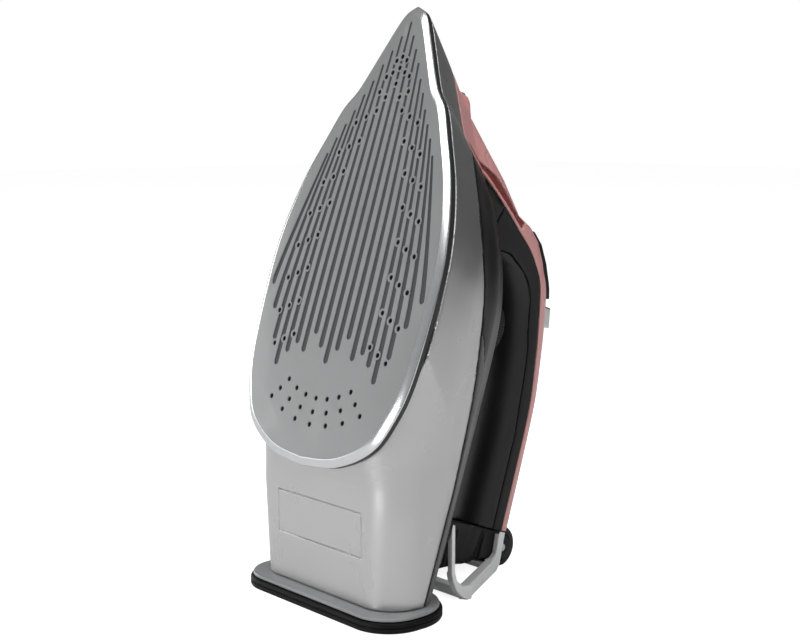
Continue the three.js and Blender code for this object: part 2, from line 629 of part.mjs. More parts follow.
// Blocks and profiles of the heel stand are given standing up: x, y and height over the ground.
const overGround = (x, y, z) => standing(x, y, z);
const acrossGround = (y, z, x) => standing(x, y, z);
const profile = (pairs, from, to) => prism(points(pairs), from, to, acrossGround);
function standHalf(side) {
  const [a, b] = [[16.1, 110.9], [38.9, 68.9]].map(([x, y]) => new THREE.Vector2(side * x, y));
  const square = b.clone().sub(a).rotateAround(new THREE.Vector2(), Math.PI / 2).setLength(2.4);
  const bar = [a.clone().add(square), a.clone().sub(square), b.clone().sub(square), b.clone().add(square)];
  const armOutside = [[106.5, 0], [112, 0], [114.6, 3.6], [118.6, 20.4]];
  const armInside = [[114.2, 21], [112, 9.5], [109.5, 7], [106.5, 7]];
  const arm = [...armOutside, ...armInside];
  const cornerOutside = [[59.6, 15], [60.4, 11], [62.8, 6], [66.3, 2], [70, 0], [73, 0]];
  const cornerInside = [[73, 7], [67, 7.6], [63.2, 11], [62, 15]];
  const corner = [...cornerOutside, ...cornerInside];
  const upright = [[59.7, 13.7], [61.9, 13.7], [61.9, 44], [59.7, 44]];
  return [
    prism(bar, 0, 6.8, overGround),
    profile(arm, side * 14.9, side * 18.3),
    profile(corner, side * 36.8, side * 41),
    profile(upright, side * 37.4, side * 40.9),
  ];
}
const crossBars = [
  profile([[66.5, 1], [71.5, 1], [71.5, 6], [66.5, 6]], -38, 38),
  profile([[108.4, 0.4], [111.6, 0.4], [111.6, 4], [108.4, 4]], -16, 16),
];
const clearOfBody = join(outerForm(-1.1), sideCut(housingSide, 14.6));
const handleEnd = sideCut([[HANDLE_END - 0.4, 0], [HANDLE_END - 0.4, FAR], [FAR, FAR], [FAR, 0]]);
piece(
  "heel_stand",
  cut(join(...standHalf(1), ...standHalf(-1), ...crossBars), clearOfBody, handleEnd, drumRoom),
  FINISH.silver,
);

// The heel's sole: a rubber rim and a ledge plate, with rounded corners.
const FOOT = { half: 57.5, near: 2.8, far: 52.8, nearRadius: 20, farRadius: 26 };
function heelPlan(inset) {
  const [half, near, far] = [FOOT.half - inset, FOOT.near + inset, FOOT.far - inset];
  const [front, back] = [FOOT.nearRadius - inset, FOOT.farRadius - inset];
  const shape = new THREE.Path();
  shape.absarc(half - front, near + front, front, -Math.PI / 2, 0);
  shape.absarc(half - back, far - back, back, 0, Math.PI / 2);
  shape.absarc(back - half, far - back, back, Math.PI / 2, Math.PI);
  shape.absarc(front - half, near + front, front, Math.PI, 1.5 * Math.PI);
  return shape.getPoints(6).slice(0, -1);
}
const heelSlab = (inset, from, to) => prism(heelPlan(inset), from, to, overGround);
const foot = cut(heelSlab(0, 0, HEEL_FOOT), heelSlab(6, -1, 3));
piece("heel_foot", cut(foot, ...BOSSES_AT.map((x) => screwHole(x, 1.9, 0, 10))), FINISH.rubber);
const ledge = heelSlab(1.4, HEEL_FOOT + GAP, HEEL_FOOT + GAP + HEEL_LEDGE);
piece("heel_plate", cut(ledge, ...BOSSES_AT.map((x) => screwHole(x, 1.9, 0, 10))), FINISH.trim);
["left", "right"].forEach((side, i) => {
  const x = BOSSES_AT[i];
  piece(`heel_screw_${side}`, join(screwHole(x, 1.4, 1.4, 17), screwHole(x, 3.2, 1, 2.7)), FINISH.steel);
});

const box = new THREE.Box3().setFromObject(root, true);
for (const mesh of root.children) mesh.position.y -= (box.min.y + box.max.y) / 2;
export default root;
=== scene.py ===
"""A steam iron standing on its heel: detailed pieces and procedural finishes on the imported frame."""
import json
import math

import bpy
import bmesh
import numpy as np
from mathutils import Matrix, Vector

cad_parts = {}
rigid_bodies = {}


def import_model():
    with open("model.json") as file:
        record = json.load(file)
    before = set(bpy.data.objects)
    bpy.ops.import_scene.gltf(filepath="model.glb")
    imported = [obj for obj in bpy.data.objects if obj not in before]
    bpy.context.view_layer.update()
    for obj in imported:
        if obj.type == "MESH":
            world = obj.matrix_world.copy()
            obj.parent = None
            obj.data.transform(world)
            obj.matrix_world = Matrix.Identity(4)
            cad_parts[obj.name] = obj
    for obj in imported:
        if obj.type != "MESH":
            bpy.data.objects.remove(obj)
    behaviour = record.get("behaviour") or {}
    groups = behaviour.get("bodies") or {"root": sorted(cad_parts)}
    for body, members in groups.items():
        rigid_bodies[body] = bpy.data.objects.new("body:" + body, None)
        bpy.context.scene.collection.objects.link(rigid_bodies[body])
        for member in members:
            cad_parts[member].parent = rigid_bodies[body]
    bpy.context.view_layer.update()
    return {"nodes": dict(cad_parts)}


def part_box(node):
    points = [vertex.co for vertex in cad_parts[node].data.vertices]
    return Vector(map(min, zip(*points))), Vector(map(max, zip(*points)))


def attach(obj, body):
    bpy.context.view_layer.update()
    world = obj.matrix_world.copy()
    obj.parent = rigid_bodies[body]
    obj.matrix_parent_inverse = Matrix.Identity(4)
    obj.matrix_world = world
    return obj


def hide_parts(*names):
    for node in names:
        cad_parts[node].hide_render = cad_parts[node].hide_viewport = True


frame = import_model()

MM = 0.001
LEAN = math.radians(18.75)
HEEL_RISE = 70.5
FOOT_NEAR = 2.8
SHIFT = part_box("heel_foot")[0].y / MM - FOOT_NEAR  # the part is centred on its own box
FAR = 200
SIDES = ((1, "right"), (-1, "left"))
DETAIL = 1

# ---- camera and stage ----
scene = bpy.context.scene
camera = bpy.data.objects.new("camera", bpy.data.cameras.new("camera"))
camera.data.lens = 65.25
camera.data.sensor_width = 36
camera.location = (0.5267, -0.4807, 0.2278)
camera.rotation_euler = (math.radians(82.26), 0, math.radians(48.80))
scene.collection.objects.link(camera)
scene.camera = camera
scene.view_settings.view_transform = "Standard"

workshop = bpy.data.collections.new("workshop")
scene.collection.children.link(workshop)

# ---- frames: the sole frame has x to the right, h away from the ironing face, s from heel to tip ----
COS, SIN = math.cos(LEAN), math.sin(LEAN)


def in_world(points):
    x, h, s = np.asarray(points, float).T
    y = h * COS + s * SIN + SHIFT
    z = -h * SIN + s * COS + HEEL_RISE
    return np.column_stack([x, y, z]) * MM


def standing(x, y, z):
    """The sole-frame place of a point given standing up, with z from the ground."""
    x, y, z = np.broadcast_arrays(*(np.asarray(v, float) for v in (x, y, z)))
    rise = z - HEEL_RISE
    return np.stack([x, y * COS - rise * SIN, y * SIN + rise * COS], -1)


def to_sole(mesh):
    """A mesh's points in the sole frame, in millimetres."""
    co = np.empty(len(mesh.vertices) * 3)
    mesh.vertices.foreach_get("co", co)
    x, y, z = (co.reshape(-1, 3) / MM).T
    y, z = y - SHIFT, z - HEEL_RISE
    return np.column_stack([x, y * COS - z * SIN, y * SIN + z * COS])


def stack(u, v, w):
    return np.column_stack(np.broadcast_arrays(u, v, w)).astype(float)


def over_sole(u, v, at):
    return stack(u, at, v)


def along_sole(u, v, at):
    return stack(u, v, at)


def across_sole(u, v, at):
    return stack(at, v, u)


def over_ground(u, v, at):
    return standing(u, v, at)


def across_ground(u, v, at):
    return standing(at, u, v)


# ---- solids ----
def solid(vertices, faces):
    mesh = bpy.data.meshes.new("solid")
    mesh.from_pydata(in_world(vertices).tolist(), [], faces)
    shape = bmesh.new()
    shape.from_mesh(mesh)
    bmesh.ops.recalc_face_normals(shape, faces=shape.faces)
    shape.to_mesh(mesh)
    shape.free()
    obj = bpy.data.objects.new("solid", mesh)
    workshop.objects.link(obj)
    return obj


def loft(rings, place):
    """A closed solid through stacked outlines with equal numbers of points: [(outline, at), ...]."""
    count = len(rings[0][0])
    vertices = np.concatenate([place(outline[:, 0], outline[:, 1], at) for outline, at in rings])
    faces = []
    for base in range(0, (len(rings) - 1) * count, count):
        for i in range(count):
            a, b = base + i, base + (i + 1) % count
            faces.append((a, b, b + count, a + count))
    faces.append(tuple(range(count - 1, -1, -1)))
    faces.append(tuple(range(len(vertices) - count, len(vertices))))
    return solid(vertices, faces)


def prism(outline, low, high, place):
    outline = np.asarray(outline, float)
    return loft([(outline, low), (outline, high)], place)


def side_cut(outline, half=FAR):
    return prism(outline, -half, half, across_sole)


def block(size, middle):
    (w, h, d), (x, y, z) = size, middle
    outline = [(x - w / 2, y - h / 2), (x + w / 2, y - h / 2), (x + w / 2, y + h / 2), (x - w / 2, y + h / 2)]
    return prism(outline, z - d / 2, z + d / 2, along_sole)


def turned(profile, start, end, sides=64, ripple=None):
    """A solid of revolution round the line from start to end: profile is [(radius, distance from start)]."""
    start, end = np.asarray(start, float), np.asarray(end, float)
    axis = (end - start) / np.linalg.norm(end - start)
    helper = np.array([1.0, 0, 0]) if abs(axis[0]) < 0.9 else np.array([0, 1.0, 0])
    side = np.cross(axis, helper)
    side /= np.linalg.norm(side)
    other = np.cross(axis, side)
    angle = np.arange(sides) / sides * 2 * math.pi
    swell = np.zeros(sides) if ripple is None else ripple(angle)
    vertices, faces = [], []
    for index, (radius, distance) in enumerate(profile):
        reach = radius + swell * min(1, radius / profile[0][0] if profile[0][0] else 1)
        turn = np.outer(np.cos(angle) * reach, side) + np.outer(np.sin(angle) * reach, other)
        vertices.append(start + axis * distance + turn)
        if index:
            for i in range(sides):
                a, b = (index - 1) * sides + i, (index - 1) * sides + (i + 1) % sides
                faces.append((a, b, b + sides, a + sides))
    faces.append(tuple(range(sides - 1, -1, -1)))
    faces.append(tuple(range((len(profile) - 1) * sides, len(profile) * sides)))
    return solid(np.concatenate(vertices), faces)


def cylinder(radius, start, end, sides=64):
    length = np.linalg.norm(np.subtract(end, start))
    return turned([(radius, 0), (radius, length)], start, end, sides)


def bake(obj):
    """Applies the modifiers."""
    graph = bpy.context.evaluated_depsgraph_get()
    made = bpy.data.meshes.new_from_object(obj.evaluated_get(graph))
    old = obj.data
    obj.modifiers.clear()
    obj.data = made
    bpy.data.meshes.remove(old)
    return obj


def discard(obj):
    mesh = obj.data
    bpy.data.objects.remove(obj)
    bpy.data.meshes.remove(mesh)


def combined(operation, body, tools, solver="MANIFOLD"):
    """The tools are used up."""
    for tool in tools:
        modifier = body.modifiers.new(operation, "BOOLEAN")
        modifier.operation = operation
        modifier.solver = solver
        modifier.object = tool
    bake(body)
    for tool in tools:
        discard(tool)
    return body


def cut(body, *tools):
    return combined("DIFFERENCE", body, tools)


def join(body, *tools):
    return combined("UNION", body, tools)


def common(body, *tools):
    return combined("INTERSECT", body, tools)


def engraved(body, *tools):
    """Fine cuts in a finished surface, whose small even faces stay as they are."""
    return combined("DIFFERENCE", body, tools, "EXACT")


def moulded(obj, voxel, rounds=4):
    """Even small faces with softly rounded edges, as a moulding has."""
    remesh = obj.modifiers.new("even", "REMESH")
    remesh.mode = "VOXEL"
    remesh.voxel_size = voxel * DETAIL * MM
    soften = obj.modifiers.new("soften", "SMOOTH")
    soften.factor = 0.5
    soften.iterations = rounds
    return bake(obj)


# ---- curves ----
def spline(points, count):
    """Evenly spaced points on a uniform Catmull-Rom spline."""
    p = np.asarray(points, float)
    n = len(p)
    t = np.linspace(0, n - 1, 40 * n)
    i = np.minimum(t.astype(int), n - 2)
    w = (t - i)[:, None]
    a, b, c, d = p[np.maximum(i - 1, 0)], p[i], p[i + 1], p[np.minimum(i + 2, n - 1)]
    v0, v1 = (c - a) / 2, (d - b) / 2
    curve = (2 * b - 2 * c + v0 + v1) * w**3 + (3 * c - 3 * b - 2 * v0 - v1) * w**2 + v0 * w + b
    along = np.concatenate([[0], np.cumsum(np.linalg.norm(np.diff(curve, axis=0), axis=1))])
    even = np.linspace(0, along[-1], count + 1)
    return np.column_stack([np.interp(even, along, curve[:, 0]), np.interp(even, along, curve[:, 1])])


def eased(at, known, values, straight_from):
    """Monotone cubic interpolation between stations, and straight from one station onwards."""
    known, values = np.asarray(known, float), np.asarray(values, float)
    if at >= straight_from:
        return np.interp(at, known, values)
    step = np.diff(known)
    slope = np.diff(values) / step
    tangent = np.concatenate([[slope[0]], (slope[1:] + slope[:-1]) / 2, [slope[-1]]])
    turning = np.concatenate([[False], slope[1:] * slope[:-1] <= 0, [False]])
    tangent[turning] = 0
    for i, rise in enumerate(slope):
        if rise:
            for j in (i, i + 1):
                tangent[j] = np.clip(tangent[j] / rise, 0, 2.6) * rise
    i = np.clip(np.searchsorted(known, at, side="right") - 1, 0, len(step) - 1)
    w = (at - known[i]) / step[i]
    return (
        values[i] * (1 + 2 * w) * (1 - w) ** 2
        + tangent[i] * step[i] * w * (1 - w) ** 2
        + values[i + 1] * w**2 * (3 - 2 * w)
        + tangent[i + 1] * step[i] * w**2 * (w - 1)
    )


def mirrored(half):
    right = np.asarray(half, float)
    left = right[right[:, 0] > 1e-6] * (-1, 1)
    return np.concatenate([right, left[::-1]])


def offset(line, distance, closed=False):
    """A side line moved square to itself, or a closed loop grown by the distance."""
    line = [np.asarray(p, float) for p in line]
    if closed:
        area = sum(a[0] * b[1] - a[1] * b[0] for a, b in zip(line, line[1:] + line[:1]))
        distance = distance if area > 0 else -distance
    moved = []
    for i, point in enumerate(line):
        before = line[i - 1] if i or closed else None
        after = line[(i + 1) % len(line)] if i + 1 < len(line) or closed else None
        normals = []
        for a, b in ((before, point), (point, after)):
            if a is not None and b is not None and np.linalg.norm(b - a):
                way = (b - a) / np.linalg.norm(b - a)
                normals.append(np.array([way[1], -way[0]]))
        first, last = normals[0], normals[-1]
        moved.append(point + distance * (first + last) / (1 + first @ last))
    return moved


def grown(loop, distance):
    return side_cut(offset(loop, distance, True))


def one_side(side):
    """All that lies to one side of the middle plane, half a millimetre away from it."""
    return block((FAR, 3 * FAR, 4 * FAR), (side * (FAR / 2 + 0.5), 0, 0))


def under(line, shift=0):
    top = offset(line, shift)
    return side_cut([*top, (top[-1][0], -FAR), (top[0][0], -FAR)])


def behind(s):
    return side_cut([(s, FAR), (s, -FAR), (-FAR, -FAR), (-FAR, FAR)])


def above(height):
    return side_cut([(-FAR, height), (-FAR, FAR), (2 * FAR, FAR), (2 * FAR, height)])


# ---- the outer form, with the part's own dimensions ----
SOLE_LENGTH, SOLE_HALF, SOLE_THICK = 225, 62.5, 5
RIM_BEVEL = 3.2
WALL, GAP, DECK = 2.4, 0.3, 70.5
NOSE_HALF = [
    (62.3, 90), (60, 114), (53, 139), (43.5, 160), (36.5, 174), (30, 181.5),
    (26.5, 186.5), (16, 206), (10.2, 216.5), (6, 222), (0, SOLE_LENGTH),
]
SOLE_REAR = [(0, 0), (24, 3), (44, 13), (53.5, 26.5), (60, 48)]
BODY_REAR = [(60, -90), (61.5, -20), (62.5, 50)]
sole_half = spline([*SOLE_REAR, *NOSE_HALF], 130)
body_half = spline([*BODY_REAR, *NOSE_HALF], 110)
HINGE_LINE = 50


def sole_outline(inset):
    across = 1 - inset / SOLE_HALF
    along = 1 - 2.2 * inset / SOLE_LENGTH
    half = np.column_stack([np.maximum(sole_half[:, 0], 0) * across, inset + sole_half[:, 1] * along])
    return mirrored(half)


BODY_START, BODY_STRAIGHT, SHOULDER = 5.4, 50, 62
BODY_LEVELS = np.array([
    (BODY_START, 224.4, 0.995), (26, 206, 0.965), (37, 196, 0.91), (BODY_STRAIGHT, 184, 0.845),
    (SHOULDER, 172, 0.72), (68, 166, 0.61), (DECK, 161, 0.5),
])  # height, how far the nose reaches, share of the width


def body_form(inset):
    evenly = [np.linspace(BODY_START, SHOULDER, 24), np.linspace(SHOULDER, DECK, 10)]
    heights = np.unique(np.concatenate([BODY_LEVELS[:, 0], *evenly]))
    rings = []
    for height in heights:
        nose, spread = (eased(height, BODY_LEVELS[:, 0], BODY_LEVELS[:, k], BODY_STRAIGHT) for k in (1, 2))
        across = spread * (1 - inset / (SOLE_HALF * spread))
        along = (nose - 1.6 * inset - HINGE_LINE) / (SOLE_LENGTH - HINGE_LINE)
        x, s = body_half.T
        s = np.where(s > HINGE_LINE, HINGE_LINE + (s - HINGE_LINE) * along, s)
        share = (height - BODY_START) / (DECK - BODY_START)
        at = height - inset * share
        if height == heights[0] and inset > 0:
            at = -20
        rings.append((mirrored(np.column_stack([np.maximum(x, 0) * across, s])), at))
    return loft(rings, over_sole)


HEEL_FACE = 11.3
HEEL_BOTTOM = 7.3
HEEL_LEVELS = [
    (HEEL_BOTTOM, HEEL_FACE, 51, 18), (54, HEEL_FACE, 54.1, 18), (64, 10.9, 54.6, 20),
    (74, 9.6, 55.2, 23.5), (84, 8.5, 56.6, 27), (93.5, 8.3, 58.5, 29), (114, 9.5, 63, 30),
    (140, 9.5, 70, 30), (320, -60, 90, 30),
]  # height over the ground, front face, half width, corner radius


def heel_form(inset):
    rings = []
    for index, (z, front, half, corner) in enumerate(HEEL_LEVELS):
        wide, near, radius = half - inset, front + inset, corner - inset
        turn = np.linspace(0, math.pi / 2, 25)
        arc = np.column_stack([wide - radius + radius * np.sin(turn), near + radius - radius * np.cos(turn)])
        right = np.concatenate([arc, [(wide, FAR)]])
        left = (right * (-1, 1))[::-1]
        rings.append((np.concatenate([right, left]), z - 20 if index == 0 and inset > 0 else z))
    return loft(rings, over_ground)


HANDLE_STATIONS = np.array([
    (-12, 109, 138.8, 16.8), (40, 108, 137.8, 17), (60, 106.5, 137, 17), (78, 104, 134.2, 17),
    (93, 101, 131.5, 17), (105, 97, 128.7, 17.2), (114, 90.5, 126.5, 17.6), (120, 82, 124.4, 18),
    (125, 68, 122, 18.4), (130, 62, 119, 18.8), (138, 58, 112.2, 19.3), (143, 54, 104.2, 19.8),
    (146, 50, 93, 20), (160, 35, 76.3, 19.6), (172, 26, 63, 15), (184, 24, 50.4, 9),
])  # place along the sole, lowest and highest point, half width
HANDLE_STRAIGHT = 130
ROUNDNESS = 2.35


def soften(value, exponent):
    return np.sign(value) * np.abs(value) ** exponent


def handle_form(inset):
    first_place, *_, last_place = HANDLE_STATIONS[:, 0]
    places = np.unique(np.concatenate([np.linspace(first_place, last_place, 100), HANDLE_STATIONS[:, 0]]))
    turn = np.arange(112) / 112 * 2 * math.pi
    x, y = soften(np.cos(turn), 2 / ROUNDNESS), soften(np.sin(turn), 2 / ROUNDNESS)
    rings = []
    for s in places:
        columns = (HANDLE_STATIONS[:, k] for k in (1, 2, 3))
        low, high, half = (eased(s, HANDLE_STATIONS[:, 0], column, HANDLE_STRAIGHT) for column in columns)
        outline = np.column_stack([(half - inset) * x, (low + high) / 2 + ((high - low) / 2 - inset) * y])
        first = -8 if s == places[0] and inset > 0 else 0
        last = -1.2 * inset if s == places[-1] else 0
        rings.append((outline, s + first + last))
    return loft(rings, along_sole)


def outer_form(inset):
    return join(common(body_form(inset), heel_form(inset)), handle_form(inset))


SKIRT_LINE = [
    (230, 26.5), (128, 26.5), (111, 30.6), (93, 36.3), (70, 42.2), (45, 47.2), (4, 51.3), (-90, 51.5),
]
TRIM_START = 79
TRIM_PROUD = 0.7
TRIM_LINE = [(TRIM_START, 40.6), (62, 50.5), (26, 57.2), (-9, 57.8), (-90, 57.3)]
COVER_LINE = [
    (230, 27), (167, 27.2), (162, 41), (156, 55), (147, 71), (138, 86), (129, 101),
    (117, 111.5), (94.7, 118.6), (79.5, 122), (59, 125.6), (40.6, 126.8), (-30, 127.5),
]
GRIP_LINE = [
    (126.6, 60), (126, 85), (120, 97), (115, 103), (107.5, 107.5),
    (93, 111.5), (78, 115.5), (40, 120), (-30, 121),
]


def softened(line, sharp=1):
    """The same side line with its bends rounded; that many points at its start stay as they are."""
    smooth = spline(line[sharp:-1], 6 * len(line))
    return [*line[:sharp], *map(tuple, smooth), line[-1]]


SKIRT_LINE = softened(SKIRT_LINE)
TRIM_LINE = softened(TRIM_LINE)
COVER_LINE = softened(COVER_LINE, 2)
GRIP_LINE = softened(GRIP_LINE)


# ---- materials ----
def nodes_of(name):
    made = bpy.data.materials.new(name)
    made.use_nodes = True
    tree = made.node_tree
    return made, tree, tree.nodes["Principled BSDF"]


def noise(tree, scale, detail):
    place = tree.nodes.new("ShaderNodeTexCoord")
    texture = tree.nodes.new("ShaderNodeTexNoise")
    texture.inputs["Scale"].default_value = scale
    texture.inputs["Detail"].default_value = detail
    texture.inputs["Roughness"].default_value = 0.55
    tree.links.new(place.outputs["Object"], texture.inputs["Vector"])
    return texture.outputs["Fac"]


def spread_over(tree, factor, low, high):
    """Noise lies mostly between 0.3 and 0.7: this stretches it from low to high."""
    ramp = tree.nodes.new("ShaderNodeMapRange")
    ramp.inputs["From Min"].default_value = 0.3
    ramp.inputs["From Max"].default_value = 0.7
    ramp.inputs["To Min"].default_value = low
    ramp.inputs["To Max"].default_value = high
    tree.links.new(factor, ramp.inputs["Value"])
    return ramp.outputs["Result"]


MOTTLE_SCALE, GLOSS_SCALE = 24, 45
GLOSS_CHANGE = 0.12
GRAIN_HEIGHT = 0.0002
COAT_ROUGHNESS = 0.1


def finish(name, colour, roughness, metallic=0.0, change=0.06, grain=(2600, 0.02), coat=0.0, specular=0.5):
    """Moulded or metal surface: colour and gloss vary a little, and a fine grain gives its bump.

    grain is (scale, strength).
    """
    made, tree, shader = nodes_of(name)
    mix = tree.nodes.new("ShaderNodeMix")
    mix.data_type = "RGBA"
    mix.inputs["A"].default_value = [c * (1 - change) for c in colour] + [1]
    mix.inputs["B"].default_value = [min(c * (1 + change), 1) for c in colour] + [1]
    tree.links.new(noise(tree, MOTTLE_SCALE, 1), mix.inputs["Factor"])
    tree.links.new(mix.outputs["Result"], shader.inputs["Base Color"])
    shade = noise(tree, GLOSS_SCALE, 1)
    gloss = spread_over(tree, shade, roughness * (1 - GLOSS_CHANGE), roughness * (1 + GLOSS_CHANGE))
    tree.links.new(gloss, shader.inputs["Roughness"])
    shader.inputs["Metallic"].default_value = metallic
    shader.inputs["Specular IOR Level"].default_value = specular
    shader.inputs["Coat Weight"].default_value = coat
    shader.inputs["Coat Roughness"].default_value = COAT_ROUGHNESS
    bump = tree.nodes.new("ShaderNodeBump")
    bump.inputs["Strength"].default_value = grain[1]
    bump.inputs["Distance"].default_value = GRAIN_HEIGHT
    tree.links.new(noise(tree, grain[0], 2), bump.inputs["Height"])
    tree.links.new(bump.outputs["Normal"], shader.inputs["Normal"])
    return made


LOOK = {
    "sole_face": finish("sole_face", (0.25, 0.252, 0.255), 0.44, 0.4, grain=(3000, 0.05), change=0.03),
    "sole_groove": finish("sole_groove", (0.05, 0.052, 0.055), 0.55, 0.2, grain=(2600, 0.06)),
    "sole_side": finish("sole_side", (0.02, 0.02, 0.021), 0.45, grain=(2200, 0.03)),
    "sole_rim": finish("sole_rim", (0.62, 0.63, 0.64), 0.19, 0.9, grain=(1200, 0.006), change=0.03),
    "silver": finish("silver_lacquer", (0.50, 0.50, 0.50), 0.3, 0.85,
                     grain=(350, 0.004), coat=0.05, change=0.02),
    "trim": finish("trim_plastic", (0.075, 0.077, 0.08), 0.42, grain=(2600, 0.06)),
    "black": finish("black_gloss", (0.004, 0.0041, 0.0043), 0.34,
                    grain=(1500, 0.015), coat=0.05, specular=0.3),
    "frame": finish("black_satin", (0.011, 0.0112, 0.0115), 0.5, grain=(2200, 0.03), specular=0.3),
    "grip": finish("soft_grip", (0.009, 0.0092, 0.0095), 0.45, grain=(2200, 0.05), specular=0.45),
    "rose": finish("rose_plastic", (0.64, 0.315, 0.305), 0.34, grain=(1200, 0.01), coat=0.05),
    "window": finish("red_window", (0.22, 0.045, 0.04), 0.12, grain=(1200, 0.01), coat=0.6),
    "rubber": finish("foot_rubber", (0.003, 0.003, 0.0031), 0.5, grain=(2200, 0.05), specular=0.15),
    "ledge": finish("ledge_plastic", (0.24, 0.243, 0.247), 0.4, grain=(2600, 0.05)),
    "strap": finish("stand_plastic", (0.74, 0.745, 0.75), 0.3, 0.1, grain=(1200, 0.01)),
    "cast": finish("cast_aluminium", (0.42, 0.42, 0.41), 0.55, 0.9, grain=(900, 0.5)),
    "steel": finish("turned_steel", (0.55, 0.56, 0.57), 0.25, 1.0, grain=(1800, 0.06)),
    "chrome": finish("knob_metal", (0.6, 0.61, 0.62), 0.16, 1.0, grain=(1800, 0.03)),
    "brass": finish("brass", (0.55, 0.38, 0.13), 0.3, 1.0, grain=(1500, 0.06)),
    "ceramic": finish("ceramic", (0.78, 0.75, 0.68), 0.5, grain=(1800, 0.15)),
    "white": finish("white_plastic", (0.72, 0.72, 0.7), 0.4, grain=(2600, 0.06)),
    # window: the tank windows' dark red is partly their own tint and partly painted shade of the recess under
    # the lid's edge
    "tank": finish("tank_plastic", (0.62, 0.66, 0.68), 0.2, grain=(1500, 0.03), coat=0.3),
    "wire": finish("wire_cover", (0.42, 0.05, 0.04), 0.45, grain=(2600, 0.05)),
}


def piece(name, obj, body, slot, looks, *nodes, smooth=True):
    obj.name = name
    obj.data.name = name
    workshop.objects.unlink(obj)
    scene.collection.objects.link(obj)
    obj.data.materials.clear()
    for look in looks:
        obj.data.materials.append(LOOK[look])
    if smooth:
        obj.data.shade_smooth()
    else:
        obj.data.set_sharp_from_angle(angle=math.radians(28))
    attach(obj, body)
    if nodes:
        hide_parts(*nodes)
    return obj


# ---- soleplate ----
HOLE_RADIUS, HOLE_EDGE, LAND_RADIUS = 1.15, 0.6, 2.15
RIM_WIDTH, RIM_HEIGHT = 4.4, 2.1


def steam_holes():
    places = []

    def pair(x, s):
        places.extend([(x, s), (-x, s)])

    for x, s in spline([(9.2, 172.3), (22.2, 142.5), (29.7, 108.5), (31.1, 75.5), (28.4, 59.6)], 7):
        for i in range(3):
            pair(x + 6.6 * i, s - 3 * i)
    places.extend((0, s) for s in (199.2, 193.6, 185.7))
    for x, s in [(3.6, 197.3), (4.3, 191.3), (8.2, 189.3), (10.4, 181.7), (5.1, 179)]:
        pair(x, s)
    for middle, radius in [(78.2, 46.5), (81.7, 56.5), (85.8, 66.6)]:
        for i in range(-3, 4):
            turn = math.radians(10 * i)
            places.append((radius * math.sin(turn), middle - radius * math.cos(turn)))
    return places


# Each groove from the middle outwards: where it starts towards the tip and where it ends towards the heel.
GROOVES = [
    (216, 50), (209, 57), (202, 63), (195, 53.5), (187, 57),
    (180, 52), (172, 45), (165, 57), (158, 72), (150, 84),
]
GROOVE_DEPTH = 0.55


def groove_line(number, side):
    top, bottom = GROOVES[number]
    t = np.linspace(0, 1, 40)
    bend = 2.2 - 0.26 * max(0, number - 5)
    x = side * number * (4.25 + 1.85 * (1 - (1 - t) ** bend))
    return np.column_stack([x, top + (bottom - top) * t]), 0.72 + 0.85 * t


def stadium(line, half, grow):
    """The outline of a rounded strip along a line whose half width changes."""
    way = np.gradient(line, axis=0)
    way /= np.linalg.norm(way, axis=1)[:, None]
    normal = np.column_stack([-way[:, 1], way[:, 0]])
    reach = (half + grow)[:, None]
    left, right = line + normal * reach, line - normal * reach

    def cap(centre, direction, radius):
        start = math.atan2(direction[1], direction[0])
        turn = np.linspace(math.pi / 2, -math.pi / 2, 11)[1:-1] + start
        return centre + radius * np.column_stack([np.cos(turn), np.sin(turn)])

    end = cap(line[-1], way[-1], reach[-1])
    begin = cap(line[0], -way[0], reach[0])
    return np.concatenate([left, end, right[::-1], begin])


def groove_tool(number, side):
    line, half = groove_line(number, side)
    levels = [(0.35, -0.4), (0.28, 0.0), (0, 0.26), (-0.12, GROOVE_DEPTH)]
    return loft([(stadium(line, half, grow), at) for grow, at in levels], over_sole)


def rim_distance(point):
    outline = sole_outline(0)
    return np.min(np.hypot(outline[:, 0] - point[0], outline[:, 1] - point[2]))


def in_groove(point):
    inside = 0.3 < point[1] < SOLE_THICK - 0.3
    return inside and np.abs(point[0]) < 56 and rim_distance(point) > RIM_WIDTH


def colour_sole(mesh):
    """Gives the grooves, the hole walls, the bevelled rim and the side their own materials, by place."""
    face, groove, rim, side = range(4)
    holes = np.array(steam_holes())
    at = to_sole(mesh)
    for polygon in mesh.polygons:
        middle = at[list(polygon.vertices)].mean(axis=0)
        if abs(middle[1]) < 0.02 or middle[1] > SOLE_THICK - 0.05:
            polygon.material_index = face
            continue
        near = np.hypot(holes[:, 0] - middle[0], holes[:, 1] - middle[2]).min()
        if near <= HOLE_RADIUS + HOLE_EDGE:
            if middle[1] > 0.4:
                polygon.material_index = groove
        elif in_groove(middle):
            polygon.material_index = groove
        elif rim_distance(middle) <= RIM_WIDTH:
            polygon.material_index = side if middle[1] > RIM_HEIGHT else rim


def soleplate():
    levels = [
        (RIM_BEVEL + 0.5, 0), (RIM_BEVEL + 0.15, 0.06), (0.5, 1.42), (0.15, 1.7), (0, RIM_HEIGHT), (0.3, 4.8),
        (0.6, SOLE_THICK),
    ]
    plate = loft([(sole_outline(inset), at) for inset, at in levels], over_sole)
    pairs = [(number, side) for number in range(1, len(GROOVES)) for side in (1, -1)]
    channels = join(groove_tool(0, 1), *[groove_tool(number, side) for number, side in pairs])
    lands = [cylinder(LAND_RADIUS, (x, -1, s), (x, 2, s), 28) for x, s in steam_holes()]
    channels = cut(channels, *lands)
    profile = [(HOLE_RADIUS + 0.55, 0), (HOLE_RADIUS + 0.25, 1.0), (HOLE_RADIUS, 1.35), (HOLE_RADIUS, 7)]
    bores = [turned(profile, (x, -1, s), (x, 6, s), 24) for x, s in steam_holes()]
    plate = cut(plate, channels, *bores)
    looks = ["sole_face", "sole_groove", "sole_rim", "sole_side"]
    made = piece("sole_plate", plate, "iron_body", "soleplate", looks, "soleplate", smooth=False)
    colour_sole(made.data)


soleplate()

